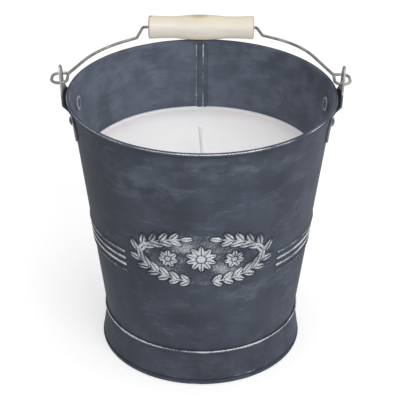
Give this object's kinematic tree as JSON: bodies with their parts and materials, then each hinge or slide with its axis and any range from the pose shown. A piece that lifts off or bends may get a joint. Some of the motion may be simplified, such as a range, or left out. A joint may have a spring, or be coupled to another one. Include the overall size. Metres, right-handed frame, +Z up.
{
  "type": "citronella candle bucket",
  "caption": "Tapered sheet-metal bucket on a flared foot, filled with candle wax round one wick, with a wire bail and a turned wooden grip.",
  "frame": {"origin": "centre of the foot's rim plane, on the ground, on the bucket's axis", "axes": "+Z up along the bucket's axis, -Y the ornamented front, +Y the seam and the lying bail, +X to the right seen from the front"},
  "size_m": [0.225, 0.211, 0.2323],
  "materials": {
    "dark_metal": "satin",
    "zinc": "satin",
    "bail_steel": "satin",
    "birch": "matte",
    "wax": "satin",
    "cotton": "matte"
  },
  "bodies": {
    "bucket": {"bucket_wall": "dark_metal", "bottom_disc": "dark_metal", "foot_ring": "dark_metal", "left_ear": "zinc", "right_ear": "zinc", "left_front_rivet": "zinc", "left_back_rivet": "zinc", "right_front_rivet": "zinc", "right_back_rivet": "zinc", "wax_fill": "wax", "wick": "cotton", "wick_tab": "zinc"},
    "bail": {"bail_wire": "bail_steel"},
    "grip": {"wooden_grip": "birch"}
  },
  "joints": [
    {"name": "bail_swing", "type": "hinge", "parent": "bucket", "child": "bail", "pos_m": [0, 0, 0.2181], "axis": [1, 0, 0], "range_deg": [0, 175.6]},
    {"name": "grip_turn", "type": "hinge", "parent": "bail", "child": "grip", "pos_m": [0, 0.0995, 0.2219], "axis": [1, 0, 0], "continuous": true}
  ]
}
